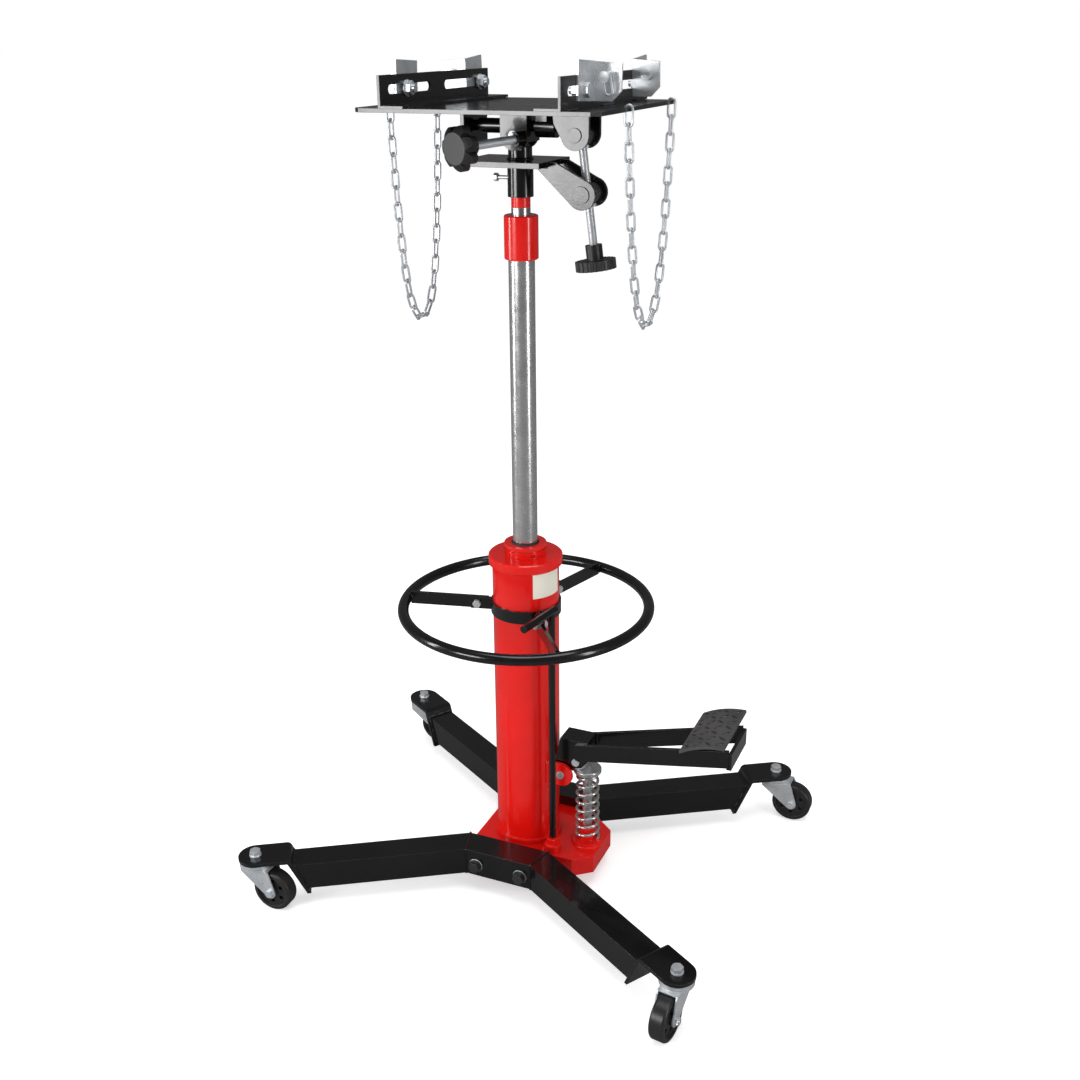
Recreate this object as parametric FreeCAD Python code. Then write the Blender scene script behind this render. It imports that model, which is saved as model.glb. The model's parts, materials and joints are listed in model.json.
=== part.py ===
"""Two-stage transmission jack: four-leg rolling base, hydraulic mast with foot pump,
swivelling and tilting saddle with corner brackets and hold-down chains.

Frame: origin on the floor under the mast axis, +Z up, +X towards the pump and foot pedal,
the front leg beam on the -Y side.  All sizes in millimetres.
"""
import FreeCAD
import Part
import math
import os

V = FreeCAD.Vector
X_AXIS = V(1, 0, 0)
Y_AXIS = V(0, 1, 0)
Z_AXIS = V(0, 0, 1)

# ---- driving dimensions ---------------------------------------------------------------------
CASTER_X = 389.0            # caster pivot, distance from the mast in X
CASTER_Y = 314.0            # caster pivot, distance from the mast in Y
RUN_GAP = 0.05              # radial clearance of a running fit

# leg beams
TUBE = 50.0                 # square tube, outside
TUBE_WALL = 3.0
TUBE_Z = 59.0               # height of the tube's centre line
BEAM_Y = 114.0              # centre line of a cross tube
BEND_X = 70.0               # where a cross tube meets its legs
BLOCK_TOP = 64.0
BLOCK_BOTTOM = 30.0
BLOCK_X0 = -78.0
BLOCK_X1 = 146.0
BLOCK_WIDE_X = 66.0         # the block reaches the cross tubes up to here
BLOCK_Y = 70.0              # half width of the narrow end
BASE_BOLT_X = 43.0
BASE_BOLT_Z = 55.0

# caster plates and casters
TAB_T = 6.0
TAB_TOP = 97.0
TAB_HALF = 30.0
TAB_IN = 53.0               # from caster pivot to the fold
TAB_FOOT = 26.0             # lowest point of the folded leg
TAB_LEAN = 25.0             # degrees the folded leg leans inwards
WHEEL_R = 37.5
WHEEL_W = 26.0
TRAIL = 36.0
FORK_TOP = 80.0
FORK_T = 2.5
FORK_GAP = 30.0
AXLE_R = 4.0
HUB_R = 10.0

# hydraulic mast
CYL_R = 57.5
CYL_TOP = 598.0
HEAD_R = 63.5
HEAD_TOP = 616.0
NUT_R = 36.0
NUT_TOP = 636.0
INNER_R = 31.0
INNER_BORE = 26.0
RAM1_R = 21.0
RAM1_BORE = 17.0
RAM1_BOTTOM = 545.0
COLLAR_Z0 = 1113.0
COLLAR_Z1 = 1181.0
COLLAR_R = 27.0
RAM2_R = 15.0
RAM2_BOTTOM = 600.0
RAM2_TOP = 1208.0
STUB_R = 13.0
STUB_TOP = 1244.0

# head
SOCKET_R = 20.0
SOCKET_Z0 = 1208.4
LOWER_Z = 1264.0            # top of the lower plate
LOWER_T = 8.0
LOWER_X0 = -82.0
LOWER_X1 = 57.0
LOWER_Y = 60.0
EAR_T = 6.0
LOW_EAR_Y = 28.0
LOW_PIN_X = 111.0
LOW_PIN_Z = 1217.0
UP_PIN_X = 100.0
UP_PIN_Z = 1302.0
UP_EAR_Y = 26.0
TILT_Z = 1300.0             # fore-aft tilt axis, along Y through the mast axis
ROLL_Z = 1312.0             # side tilt axis, along X
CRADLE_X = 22.0
CRADLE_Y = 24.0
CRADLE_T = 5.0
CRADLE_TOP = 1332.0
PLATE_Z = 1344.0            # top of the saddle plate
PLATE_T = 6.0
PLATE_X = 192.0
PLATE_Y = 168.0
RAIL_X = 137.0
RAIL_Y = 178.0
RAIL_H = 45.0
RAIL_T = 4.0
SLOT_W = 13.0
SLOT_CENTRE = 88.0
SLOT_LEN = 130.0
BRACKET_T = 3.0
BRACKET_LEG = {-1: (-122.0, -58.0), 1: (166.0, 106.0)}      # free end and folded end of the leg
BRACKET_TURN = {-1: -3.0, 1: 5.0}                            # degrees each one sits turned on its bolt
LINK_PITCH = 25.0
LINK_WIRE = 1.9
LINK_HALF_W = 5.6
LINK_SLACK = 0.25
CHAIN_PIN_R = 2.9
LEVEL_LIFT = 1.0            # the lowest link rests in the bends of its neighbours
CHAIN_HOLE_X = PLATE_X - 7.0
CHAIN_HOLES = ((-CHAIN_HOLE_X, -58.0), (-CHAIN_HOLE_X, 95.0), (CHAIN_HOLE_X, -45.0), (CHAIN_HOLE_X, 150.0))
KNOB_SCREW_R = 6.0

# foot pump
PUMP_X = 116.7
PIVOT_X = 76.0
PIVOT_Z = 209.0
LINK_X = 102.0
LINK_Z = 236.0
CAP_Z = 218.0
CAP_T = 9.0
SPRING_R = 20.5
SPRING_WIRE = 2.7
SPRING_TURNS = 8.0
SPRING_Z0 = 72.5
CHANNEL_TOP = 279.0
PIN_R = 7.0
PEDAL_SLOPE = 13.0          # degrees the arms rise at rest
ARM_Z = 262.0
ARM_T = 6.0
ARM_START_X = 126.0
ARM_START_Y = 20.9
ARM_END_X = 384.0
ARM_END_Y = 41.5
TREAD_X = 80.0
TREAD_Y0 = -50.0
TREAD_Y1 = 92.0
TREAD_T = 4.0
ROD_X = 70.0
ROD_Y = -52.0
ROD_TOP = 539.0
HANDLE_ANGLE = -100.0       # direction of the release handle, from +X

# hand ring
RING_R = 213.0
RING_TUBE = 9.5
RING_Z = 518.0
BAND_Z0 = 508.0
BAND_Z1 = 530.0
SPOKE_ANGLES = (193.5, 74.0, 308.0)
LUG_BOLT_R = CYL_R + 28.0

CORNERS = {"front_left": (-1, -1), "front_right": (1, -1),
           "rear_left": (-1, 1), "rear_right": (1, 1)}
TRAIL_ANGLE = {"front_left": 0.0, "front_right": -98.0, "rear_left": 0.0, "rear_right": 0.0}


# ---- helpers --------------------------------------------------------------------------------
def block(x0, x1, y0, y1, z0, z1):
    return Part.makeBox(x1 - x0, y1 - y0, z1 - z0, V(x0, y0, z0))


def rod(start, end, radius):
    start = V(*start)
    along = V(*end) - start
    return Part.makeCylinder(radius, along.Length, start, along)


def upright(radius, z0, z1, x=0.0, y=0.0):
    return Part.makeCylinder(radius, z1 - z0, V(x, y, z0))


def pipe(outer, inner, z0, z1, x=0.0, y=0.0):
    return upright(outer, z0, z1, x, y).cut(upright(inner, z0 - 1, z1 + 1, x, y))


def prism(points, vector):
    corners = [V(*p) for p in points]
    return Part.Face(Part.makePolygon(corners + corners[:1])).extrude(V(*vector))


def hexagon(across, height, base, axis):
    """Hexagonal bar of the given width across flats, starting at base and going along axis."""
    points = []
    for k in range(6):
        a = math.radians(60 * k)
        points.append(V(across / math.sqrt(3) * math.cos(a), across / math.sqrt(3) * math.sin(a), 0))
    solid = Part.Face(Part.makePolygon(points + points[:1])).extrude(V(0, 0, height))
    slope = across * 0.6
    solid = solid.common(Part.makeCone(slope + height * 1.7, slope * 0.86, height))
    return laid(solid, base, axis)


def laid(solid, base, axis):
    """Turn a solid built along +Z so that +Z points along axis, and move it to base."""
    turned = solid.copy()
    turned.Placement = FreeCAD.Placement(V(*base), FreeCAD.Rotation(Z_AXIS, V(*axis)))
    return turned


def fuse(first, *others):
    return first.multiFuse(list(others)).removeSplitter()


def group(solids):
    return Part.makeCompound(solids)


def bolt(base, axis, across, head, radius, length):
    """Hex bolt: the head starts at base and rises along axis, the shank goes the other way."""
    axis = V(*axis).normalize()
    start = V(*base)
    tail = start - axis * length
    shank = Part.makeCylinder(radius, length + 0.5, tail, axis)
    return fuse(hexagon(across, head, tuple(start), tuple(axis)), shank)


def save(name, shape):
    shape.exportStep("parts/" + name + ".step")


# ---- base -----------------------------------------------------------------------------------
def leg_frame(sx, sy):
    """Start, end and unit direction of one leg's centre line, in plan."""
    start = V(sx * BEND_X, sy * BEAM_Y, 0)
    pivot = V(sx * CASTER_X, sy * CASTER_Y, 0)
    along = (pivot - start).normalize()
    return start, pivot, along


def hollow_bar(start, along, length):
    """Square tube along a horizontal direction, centred on TUBE_Z."""
    half = TUBE / 2
    inner = half - TUBE_WALL
    outer = block(0, length, -half, half, -half, half)
    core = block(-1, length + 1, -inner, inner, -inner, inner)
    bar = outer.cut(core)
    bar.Placement = FreeCAD.Placement(V(start.x, start.y, TUBE_Z), FreeCAD.Rotation(X_AXIS, along))
    return bar


def half_space(point, normal):
    """Large block on the far side of a plane, used to cut mitres."""
    big = block(-400, 400, -400, 400, 0, 400)
    return laid(big, tuple(point), tuple(normal))


def mitre(sx, sy):
    """Point and normal of the mitre plane between a cross tube and a leg."""
    start, _, along = leg_frame(sx, sy)
    normal = (V(sx, 0, 0) + along).normalize()
    return V(start.x, start.y, TUBE_Z), normal


def cross_tube(sy):
    bar = hollow_bar(V(-150, sy * BEAM_Y, 0), X_AXIS, 300)
    for sx in (-1, 1):
        point, normal = mitre(sx, sy)
        bar = bar.cut(half_space(point, normal))
    for sx in (-1, 1):
        x = sx * BASE_BOLT_X
        reach = TUBE / 2 + 2
        hole = rod((x, sy * BEAM_Y - reach, BASE_BOLT_Z), (x, sy * BEAM_Y + reach, BASE_BOLT_Z), 6.2)
        bar = bar.cut(hole)
    return bar


def tab_face(sx, sy):
    """Point and normal of the folded leg's inner face, where the leg tube ends."""
    _, pivot, along = leg_frame(sx, sy)
    lean = math.radians(TAB_LEAN)
    point = pivot - along * (TAB_IN + TAB_T / math.cos(lean)) + V(0, 0, TAB_TOP)
    normal = along * math.cos(lean) - V(0, 0, 1) * math.sin(lean)
    return point, normal


def leg_tube(sx, sy):
    start, pivot, along = leg_frame(sx, sy)
    length = (pivot - start).Length
    bar = hollow_bar(start - along * 60, along, length + 60)
    point, normal = mitre(sx, sy)
    bar = bar.cut(half_space(point, normal * -1))
    point, normal = tab_face(sx, sy)
    return bar.cut(half_space(point, normal))


def caster_plate(sx, sy):
    """Tab that carries the caster, folded down and inwards over the end of the leg tube."""
    _, pivot, along = leg_frame(sx, sy)
    lean = math.radians(TAB_LEAN)
    drop = TAB_TOP - TAB_FOOT
    back = drop * math.tan(lean)
    thick = TAB_T / math.cos(lean)
    low = TAB_TOP - TAB_T
    inner = -TAB_IN - thick
    outline = [(0, 0, TAB_TOP), (inner, 0, TAB_TOP), (inner - back, 0, TAB_FOOT),
               (inner - back + thick, 0, TAB_FOOT), (-TAB_IN - TAB_T * math.tan(lean), 0, low),
               (0, 0, low)]
    shifted = [(x, -TAB_HALF, z) for x, _, z in outline]
    plate = prism(shifted, (0, 2 * TAB_HALF, 0))
    plate = fuse(plate, upright(TAB_HALF, low, TAB_TOP))
    plate = plate.cut(upright(6.2, low - 5, TAB_TOP + 5))
    top_edges = [e for e in plate.Edges if abs(e.CenterOfMass.x - inner) < 0.5
                 and abs(e.CenterOfMass.z - TAB_TOP) < 0.5]
    plate = plate.makeFillet(9.0, top_edges)
    plate.Placement = FreeCAD.Placement(V(pivot.x, pivot.y, 0), FreeCAD.Rotation(X_AXIS, along))
    return plate


def base_block():
    wide = block(BLOCK_X0, BLOCK_WIDE_X, -BEAM_Y + TUBE / 2, BEAM_Y - TUBE / 2, BLOCK_BOTTOM, BLOCK_TOP)
    nose_x = BLOCK_X1 - 32
    nose = prism([(0, -BLOCK_Y, BLOCK_BOTTOM), (nose_x, -BLOCK_Y, BLOCK_BOTTOM),
                  (BLOCK_X1, -BLOCK_Y + 26, BLOCK_BOTTOM), (BLOCK_X1, BLOCK_Y - 26, BLOCK_BOTTOM),
                  (nose_x, BLOCK_Y, BLOCK_BOTTOM), (0, BLOCK_Y, BLOCK_BOTTOM)],
                 (0, 0, BLOCK_TOP - BLOCK_BOTTOM))
    body = fuse(wide, nose)
    body = body.cut(upright(INNER_BORE, BLOCK_TOP - 6, BLOCK_TOP + 1))
    body = body.cut(upright(11.0, BLOCK_TOP - 22, BLOCK_TOP + 1, PUMP_X))
    body = body.cut(upright(8.0, BLOCK_TOP - 18, BLOCK_TOP + 1, ROD_X, ROD_Y))
    for sx in (-1, 1):
        for sy in (-1, 1):
            x = sx * BASE_BOLT_X
            hole = rod((x, sy * (BEAM_Y - TUBE / 2 - 34), BASE_BOLT_Z), (x, sy * BEAM_Y, BASE_BOLT_Z), 6.0)
            body = body.cut(hole)
    return body


def base_bolts():
    pieces = []
    for sx in (-1, 1):
        for sy in (-1, 1):
            face = sy * (BEAM_Y + TUBE / 2)
            x = sx * BASE_BOLT_X
            pieces.append(bolt((x, face + sy * 2.5, BASE_BOLT_Z), (0, sy, 0), 18.0, 8.0, 6.0, 84.0))
            washer = rod((x, face, BASE_BOLT_Z), (x, face + sy * 2.5, BASE_BOLT_Z), 12.5)
            washer = washer.cut(rod((x, face - sy, BASE_BOLT_Z), (x, face + sy * 4, BASE_BOLT_Z), 6.2))
            pieces.append(washer)
    return group(pieces)


# ---- casters --------------------------------------------------------------------------------
def at_caster(solid, name):
    """Move a piece drawn round the caster's swivel axis, trailing +X, to its corner."""
    sx, sy = CORNERS[name]
    turned = solid.copy()
    turned.Placement = FreeCAD.Placement(V(sx * CASTER_X, sy * CASTER_Y, 0),
                                         FreeCAD.Rotation(Z_AXIS, TRAIL_ANGLE[name]))
    return turned


def caster_bolt():
    head = bolt((0, 0, TAB_TOP + 2.0), (0, 0, 1), 17.0, 8.0, 6.0, 27.5)
    washer = pipe(10.5, 6.2, TAB_TOP, TAB_TOP + 2.0)
    nut_z = FORK_TOP - FORK_T - 6.3
    nut = hexagon(17.0, 6.0, (0, 0, nut_z), (0, 0, 1)).cut(upright(6.0, nut_z - 2, nut_z + 8))
    return [head, washer, nut]


def caster_cup():
    """Fixed upper raceway pressed from sheet: a flat disc with a rolled skirt."""
    disc = pipe(26.0, 6.2, 87.5, TAB_TOP - TAB_T)
    skirt = pipe(28.5, 24.5, 84.3, 89.0)
    return fuse(disc, skirt)


def caster_fork():
    """Pressed fork: raceway, round top plate and two cheeks that run back to the axle."""
    half = FORK_GAP / 2
    z0 = FORK_TOP - FORK_T
    outline = [(-22.0, FORK_TOP), (33.0, FORK_TOP), (36.0, FORK_TOP - 6), (TRAIL + 10.0, WHEEL_R + 3.0),
               (TRAIL - 7.0, WHEEL_R - 8.0), (-22.0, FORK_TOP - 11)]
    cheeks = []
    for side in (-1, 1):
        y0 = half if side > 0 else -half - FORK_T
        cheek = prism([(x, y0, z) for x, z in outline], (0, FORK_T, 0))
        boss = rod((TRAIL, y0, WHEEL_R), (TRAIL, y0 + FORK_T, WHEEL_R), 10.5)
        cheeks.append(fuse(cheek, boss))
    nose = upright(28.0, z0, FORK_TOP).common(block(-30, 5, -half - FORK_T, half + FORK_T, z0, FORK_TOP))
    top = block(0, 33.0, -half - FORK_T, half + FORK_T, z0, FORK_TOP)
    flange = upright(28.5, FORK_TOP - 0.5, 83.6)
    race = upright(23.5, FORK_TOP, 87.1)
    body = fuse(nose, top, flange, race, *cheeks)
    body = body.cut(upright(6.2, 60, 90))
    return body.cut(rod((TRAIL, -30, WHEEL_R), (TRAIL, 30, WHEEL_R), AXLE_R))


def caster_axle():
    side = FORK_GAP / 2 + FORK_T
    pin = rod((TRAIL, -side, WHEEL_R), (TRAIL, side + 7, WHEEL_R), AXLE_R)
    head = hexagon(13.0, 5.0, (TRAIL, -side, WHEEL_R), (0, -1, 0))
    nut = hexagon(13.0, 6.0, (TRAIL, side, WHEEL_R), (0, 1, 0)).cut(
        rod((TRAIL, side - 1, WHEEL_R), (TRAIL, side + 8, WHEEL_R), AXLE_R))
    return [fuse(pin, head), nut]


def caster_wheel():
    half = WHEEL_W / 2
    wheel = rod((TRAIL, -half, WHEEL_R), (TRAIL, half, WHEEL_R), WHEEL_R)
    rims = [e for e in wheel.Edges if e.Length > 2 * math.pi * WHEEL_R - 1]
    wheel = wheel.makeFillet(4.5, rims)
    for side in (-1, 1):
        dish = rod((TRAIL, side * (half - 3.5), WHEEL_R), (TRAIL, side * (half + 1), WHEEL_R), WHEEL_R - 8)
        wheel = wheel.cut(dish)
    hub = rod((TRAIL, -half - 1.5, WHEEL_R), (TRAIL, half + 1.5, WHEEL_R), HUB_R)
    wheel = fuse(wheel, hub)
    wheel = wheel.cut(rod((TRAIL, -20, WHEEL_R), (TRAIL, 20, WHEEL_R), AXLE_R + RUN_GAP))
    for k in range(6):
        a = math.radians(60 * k + 30)
        x = TRAIL + 20.0 * math.cos(a)
        z = WHEEL_R + 20.0 * math.sin(a)
        wheel = wheel.cut(rod((x, -20, z), (x, 20, z), 4.4))
    return wheel


# ---- hydraulic mast -------------------------------------------------------------------------
def reservoir_tube():
    tube = pipe(CYL_R, CYL_R - 4.0, BLOCK_TOP, CYL_TOP)
    foot = pipe(CYL_R + 4.0, CYL_R - 4.0, BLOCK_TOP, BLOCK_TOP + 9.0)
    return fuse(tube, foot)


def inner_cylinder():
    return pipe(INNER_R, INNER_BORE, BLOCK_TOP, CYL_TOP)


def cylinder_head():
    head = pipe(HEAD_R, RAM1_R + RUN_GAP, CYL_TOP, HEAD_TOP)
    rims = [e for e in head.Edges if e.Length > 2 * math.pi * HEAD_R - 1]
    return head.makeChamfer(2.0, rims)


def gland_nut():
    nut = pipe(NUT_R, RAM1_R + 3.0, HEAD_TOP, NUT_TOP)
    groove = pipe(NUT_R + 1, NUT_R - 2.0, NUT_TOP - 9.0, NUT_TOP - 6.0)
    nut = nut.cut(groove)
    for k in range(4):
        a = math.radians(90 * k + 45)
        x = NUT_R * math.cos(a)
        y = NUT_R * math.sin(a)
        nut = nut.cut(upright(4.0, HEAD_TOP + 2, NUT_TOP - 12, x, y))
    return nut


def wiper_seal():
    seal = pipe(RAM1_R + 3.0, RAM1_R + RUN_GAP, HEAD_TOP, NUT_TOP)
    lip = Part.makeCone(RAM1_R + 3.0, RAM1_R + 1.0, 4.0, V(0, 0, NUT_TOP))
    return fuse(seal, lip.cut(upright(RAM1_R + RUN_GAP, NUT_TOP - 1, NUT_TOP + 6)))


def ram_1_tube():
    return pipe(RAM1_R, RAM1_BORE, RAM1_BOTTOM, COLLAR_Z0)


def ram_1_piston():
    ring = pipe(INNER_BORE - RUN_GAP, RAM1_BORE, RAM1_BOTTOM - 28.0, RAM1_BOTTOM)
    ring = ring.cut(pipe(INNER_BORE + 1, INNER_BORE - 3.0, RAM1_BOTTOM - 18, RAM1_BOTTOM - 10))
    plug = upright(RAM1_BORE, RAM1_BOTTOM - 28.0, RAM1_BOTTOM - 16.0)
    return fuse(ring, plug)


def ram_collar():
    collar = pipe(COLLAR_R, RAM2_R + RUN_GAP, COLLAR_Z0, COLLAR_Z1)
    rims = [e for e in collar.Edges if e.Length > 2 * math.pi * COLLAR_R - 1]
    return collar.makeFillet(2.5, rims)


def ram_2_rod():
    body = upright(RAM2_R, RAM2_BOTTOM, RAM2_TOP)
    return fuse(body, upright(STUB_R - RUN_GAP, RAM2_TOP - 2, STUB_TOP))


def ram_2_piston():
    head = upright(RAM1_BORE - RUN_GAP, RAM2_BOTTOM - 24.0, RAM2_BOTTOM)
    return head.cut(pipe(RAM1_BORE + 1, RAM1_BORE - 2.5, RAM2_BOTTOM - 15, RAM2_BOTTOM - 8))


# ---- hand ring ------------------------------------------------------------------------------
def turned(solid, angle):
    copy = solid.copy()
    copy.rotate(V(0, 0, 0), Z_AXIS, angle)
    return copy


def hand_ring():
    return Part.makeTorus(RING_R, RING_TUBE, V(0, 0, RING_Z))


def ring_spoke():
    """Flat bar from a lug on the clamp band to a tongue under the ring."""
    bar = block(CYL_R + 9, RING_R - RING_TUBE + 2.0, -3.0, 3.0, RING_Z - 11, RING_Z + 11)
    bar = bar.cut(Part.makeTorus(RING_R, RING_TUBE, V(0, 0, RING_Z)))
    return bar.cut(rod((LUG_BOLT_R, -5, RING_Z), (LUG_BOLT_R, 5, RING_Z), 4.1))


def clamp_band():
    band = pipe(CYL_R + 3.5, CYL_R, BAND_Z0, BAND_Z1)
    for angle in SPOKE_ANGLES:
        lug = block(CYL_R + 2, LUG_BOLT_R + 12, 3.0, 8.0, BAND_Z0, BAND_Z1)
        lug = lug.cut(rod((LUG_BOLT_R, 0, RING_Z), (LUG_BOLT_R, 10, RING_Z), 4.1))
        band = fuse(band, turned(lug, angle))
    return band


def ring_bolts():
    pieces = []
    for angle in SPOKE_ANGLES:
        x = LUG_BOLT_R
        screw = bolt((x, -3.0, RING_Z), (0, -1, 0), 13.0, 5.5, 4.0, 17.0)
        nut = hexagon(13.0, 6.0, (x, 8.0, RING_Z), (0, 1, 0)).cut(rod((x, 7, RING_Z), (x, 16, RING_Z), 4.0))
        pieces.append(turned(screw, angle))
        pieces.append(turned(nut, angle))
    return group(pieces)


# ---- foot pump ------------------------------------------------------------------------------
def pump_body():
    flange = upright(28.0, BLOCK_TOP, SPRING_Z0 - SPRING_WIRE, PUMP_X)
    neck = upright(14.0, BLOCK_TOP, 100.0, PUMP_X)
    thread = upright(11.0, BLOCK_TOP - 20, BLOCK_TOP + 1, PUMP_X)
    return fuse(flange, neck, thread).cut(upright(9.0 + RUN_GAP, BLOCK_TOP - 12, 110, PUMP_X))


def pump_plunger():
    """Chrome plunger with the spring's cap turned on its upper end."""
    cap = upright(25.0, CAP_Z - CAP_T, CAP_Z, PUMP_X)
    rims = [e for e in cap.Edges if e.Length > 2 * math.pi * 25 - 1]
    cap = cap.makeFillet(2.5, rims)
    boss = upright(14.5, CAP_Z - 18.0, CAP_Z - 3.0, PUMP_X)
    return fuse(upright(9.0, 69.0, CAP_Z - 3.0, PUMP_X), cap, boss)


def return_spring():
    height = CAP_Z - CAP_T - SPRING_WIRE - SPRING_Z0
    helix = Part.makeLongHelix(height / SPRING_TURNS, height, SPRING_R)
    profile = Part.Wire([Part.makeCircle(SPRING_WIRE, V(SPRING_R, 0, 0), Y_AXIS)])
    spring = Part.Wire(helix.Edges).makePipeShell([profile], True, True)
    spring.translate(V(PUMP_X, 0, SPRING_Z0))
    return spring


def pivot_lug():
    """Forked red lug on the reservoir that carries the pedal's pivot pin."""
    ears = []
    for side in (-1, 1):
        y0 = 24.0 if side > 0 else -30.0
        ear = fuse(block(CYL_R - 8.0, PIVOT_X, y0, y0 + 6.0, PIVOT_Z - 22, PIVOT_Z + 22),
                   rod((PIVOT_X, y0, PIVOT_Z), (PIVOT_X, y0 + 6.0, PIVOT_Z), 22.0))
        ears.append(ear)
    lug = group(ears)
    lug = lug.cut(upright(CYL_R, 100, 300))
    web = block(48.0, 60.0, -24.5, 24.5, PIVOT_Z - 22, PIVOT_Z + 22).cut(upright(CYL_R, 100, 300))
    lug = fuse(web, *lug.Solids)
    return lug.cut(rod((PIVOT_X, -40, PIVOT_Z), (PIVOT_X, 40, PIVOT_Z), PIN_R + RUN_GAP))


def pedal_line(x):
    """Height of the pedal arms' centre line at x."""
    return ARM_Z + (x - ARM_START_X) * math.tan(math.radians(PEDAL_SLOPE))


def arm(side):
    """Flat bar that leaves the channel's cheek and spreads outwards to the end plate."""
    half = 16.0
    path = [(ARM_START_X - 24, ARM_START_Y - 1.5), (ARM_START_X, ARM_START_Y), (ARM_END_X, ARM_END_Y)]
    outline = [(x, side * y, 0) for x, y in path]
    outline += [(x, side * (y + ARM_T), 0) for x, y in reversed(path)]
    flat = prism(outline, (0, 0, 2 * half))
    shear = FreeCAD.Matrix()
    shear.A31 = math.tan(math.radians(PEDAL_SLOPE))
    bar = flat.transformGeometry(shear)
    bar.translate(V(0, 0, pedal_line(0.0) - half))
    return bar


def pedal_lever():
    """Inverted channel on the pivot pin, two arms and an end plate, all welded."""
    outline = [(62.0, PIVOT_Z - 5), (69.0, PIVOT_Z - 12), (84.0, PIVOT_Z - 12), (90.0, PIVOT_Z),
               (96.0, 222.0), (LINK_X + 10, LINK_Z - 10), (124.0, 240.0),
               (124.0, CHANNEL_TOP), (72.0, CHANNEL_TOP), (62.0, 222.0)]
    channel = prism([(x, -21.0, z) for x, z in outline], (0, 42.0, 0))
    channel = channel.cut(block(50.0, 134.0, -15.0, 15.0, 190.0, CHANNEL_TOP - 6))
    channel = channel.cut(rod((PUMP_X, 0, 180), (PUMP_X, 0, CAP_Z + 1.5), 26.0))
    end_z = pedal_line(ARM_END_X)
    reach = ARM_END_Y + ARM_T
    end = block(ARM_END_X, ARM_END_X + 6, -reach, reach, end_z - 19, end_z + 11)
    lever = fuse(channel, arm(-1), arm(1), end).cut(pedal_plate())
    lever = lever.cut(rod((PIVOT_X, -60, PIVOT_Z), (PIVOT_X, 60, PIVOT_Z), PIN_R))
    return lever.cut(rod((LINK_X, -60, LINK_Z), (LINK_X, 60, LINK_Z), PIN_R))


def pedal_plate():
    """Arched tread plate welded on top of the arms, overhanging the far arm."""
    rise = 5.5
    radius = (TREAD_X * TREAD_X / 4 + rise * rise) / (2 * rise)
    depth = TREAD_Y1 - TREAD_Y0
    shell = Part.makeCylinder(radius, depth, V(0, TREAD_Y0, rise - radius), Y_AXIS)
    hollow = Part.makeCylinder(radius - TREAD_T, depth + 10, V(0, TREAD_Y0 - 5, rise - radius), Y_AXIS)
    shell = shell.cut(hollow)
    shell = shell.common(block(-TREAD_X / 2, TREAD_X / 2, TREAD_Y0, TREAD_Y1, -TREAD_T - 1, rise + 2))
    middle = ARM_END_X - TREAD_X / 2 - 6
    shell.Placement = FreeCAD.Placement(V(middle, 0, pedal_line(middle) + 20.5),
                                        FreeCAD.Rotation(Y_AXIS, -PEDAL_SLOPE - 3.0))
    return shell


def pedal_pins():
    pivot = rod((PIVOT_X, -33.0, PIVOT_Z), (PIVOT_X, 33.0, PIVOT_Z), PIN_R)
    link = rod((LINK_X, -24.0, LINK_Z), (LINK_X, 24.0, LINK_Z), PIN_R)
    roller = rod((LINK_X, -14.0, LINK_Z), (LINK_X, 14.0, LINK_Z), LINK_Z - CAP_Z - 0.3)
    return group([pivot, fuse(link, roller)])


def release_valve():
    boss = upright(15.0, BLOCK_TOP, BLOCK_TOP + 14.0, ROD_X, ROD_Y)
    stem = upright(8.0, BLOCK_TOP - 16, BLOCK_TOP + 1, ROD_X, ROD_Y)
    nut = hexagon(22.0, 14.0, (ROD_X, ROD_Y, BLOCK_TOP + 13.0), (0, 0, 1))
    hole = upright(6.0 + RUN_GAP, BLOCK_TOP - 8, BLOCK_TOP + 40, ROD_X, ROD_Y)
    return fuse(boss, stem, nut).cut(hole)


def release_rod():
    """Long rod that turns the release valve, with its handle welded across the top."""
    needle = upright(6.0, BLOCK_TOP - 6, BLOCK_TOP + 20, ROD_X, ROD_Y)
    shaft = upright(6.0, BLOCK_TOP + 18, ROD_TOP, ROD_X, ROD_Y)
    a = math.radians(HANDLE_ANGLE)
    tip = (ROD_X + 84 * math.cos(a), ROD_Y + 84 * math.sin(a), ROD_TOP)
    tail = (ROD_X - 10 * math.cos(a), ROD_Y - 10 * math.sin(a), ROD_TOP)
    return fuse(needle, shaft, rod(tail, tip, 6.5))


# ---- swivel head ----------------------------------------------------------------------------
def socket_tube():
    tube = pipe(SOCKET_R, STUB_R, SOCKET_Z0, LOWER_Z - LOWER_T)
    return tube.cut(rod((-30, 0, 1236), (0, 0, 1236), 3.0))


def lock_screw():
    shank = rod((-38.0, 0, 1236), (-STUB_R - 0.4, 0, 1236), 3.0)
    return fuse(shank, hexagon(11.0, 6.0, (-44.0, 0, 1236), (1, 0, 0)))


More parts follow.
